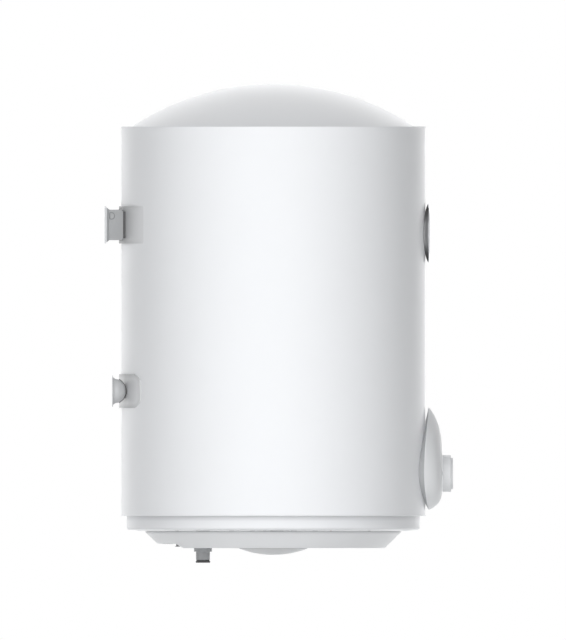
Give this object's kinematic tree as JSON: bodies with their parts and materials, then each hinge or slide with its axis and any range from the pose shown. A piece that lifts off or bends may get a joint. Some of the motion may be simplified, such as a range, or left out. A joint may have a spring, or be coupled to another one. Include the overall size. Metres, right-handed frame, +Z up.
{
  "type": "tank water heater",
  "caption": "Wall-hung electric storage water heater: vertical drum with domed top, dial thermometer, drop-shaped control panel and rear bracket.",
  "frame": {"origin": "middle of the upper wall bracket's rim, on the wall plane", "axes": "+Z up along the drum's axis, +Y into the wall, the front with its panel and thermometer faces -Y, +X is the right-hand side seen from the front"},
  "size_m": [0.4518, 0.5161, 0.7088],
  "materials": {
    "white_enamel": "glossy white powder coat",
    "white_plastic": "satin white moulding",
    "grey_plastic": "satin grey moulding",
    "tank_steel": "bare outside, enamelled inside",
    "zinc_steel": "zinc plated",
    "bright_steel": "bright",
    "grey_paint": "satin grey",
    "foam": "rigid cream foam",
    "copper": "bare copper",
    "magnesium": "dull cast",
    "black_rubber": "matte",
    "grey_rubber": "matte",
    "brown_phenolic": "satin",
    "red_plastic": "glossy",
    "ivory_ceramic": "satin",
    "cable_sheath": "satin",
    "chrome": "polished",
    "lamp_orange": "translucent amber",
    "dial_white": "printed card",
    "needle_black": "satin",
    "lens": "clear"
  },
  "bodies": {
    "heater": {"outer_jacket": "white_enamel", "top_cover": "white_enamel", "lower_ring": "white_enamel", "foam_insulation": "foam", "tank_shell": "tank_steel", "tank_top_end": "tank_steel", "tank_bottom_end": "tank_steel", "tank_flange": "tank_steel", "flange_gasket": "black_rubber", "element_flange": "zinc_steel", "flange_studs": "zinc_steel", "flange_nuts": "zinc_steel", "heating_element": "bright_steel", "element_terminals": "ivory_ceramic", "thermostat_pocket": "bright_steel", "anode_rod": "magnesium", "anode_nut": "zinc_steel", "safety_cutout": "brown_phenolic", "cold_inlet_nipple": "zinc_steel", "hot_outlet_nipple": "zinc_steel", "cold_diffuser": "ivory_ceramic", "hot_dip_pipe": "bright_steel", "nipple_collars": "grey_rubber", "nipple_liners": "black_rubber", "service_cover": "white_plastic", "access_cap": "grey_plastic", "cover_screws": "zinc_steel", "terminal_block": "ivory_ceramic", "cord_gland": "black_rubber", "upper_bracket": "grey_paint", "bracket_studs": "zinc_steel", "bracket_nuts": "zinc_steel", "upper_pad": "grey_paint", "lower_pad": "grey_paint", "wall_spacers": "grey_plastic", "spacer_screws": "zinc_steel", "control_panel": "grey_plastic", "panel_base": "grey_plastic", "thermostat_body": "brown_phenolic", "thermostat_bulb": "copper", "thermostat_capillary": "copper", "indicator_lens": "lamp_orange", "indicator_lamp": "ivory_ceramic", "wiring_loom": "cable_sheath", "element_leads": "cable_sheath", "gauge_case": "chrome", "gauge_bezel": "chrome", "gauge_movement": "zinc_steel", "gauge_dial": "dial_white", "gauge_lens": "lens"},
    "thermostat_control": {"thermostat_spindle": "bright_steel", "thermostat_knob": "white_plastic"},
    "needle": {"gauge_needle": "needle_black"},
    "button": {"reset_button": "red_plastic"}
  },
  "joints": [
    {"name": "thermostat_turn", "type": "hinge", "parent": "heater", "child": "thermostat_control", "pos_m": [0, -0.5002, -0.368], "axis": [0, 1, 0], "range_deg": [0, 270]},
    {"name": "needle_sweep", "type": "hinge", "parent": "heater", "child": "needle", "pos_m": [0, -0.475, -0.012], "axis": [0, 1, 0], "range_deg": [-48, 192]},
    {"name": "reset_press", "type": "slide", "parent": "heater", "child": "button", "axis": [0, 0, 1], "range_m": [0, 0.0015], "stiffness_N_per_m": 1200, "springref_m": -0.001}
  ]
}
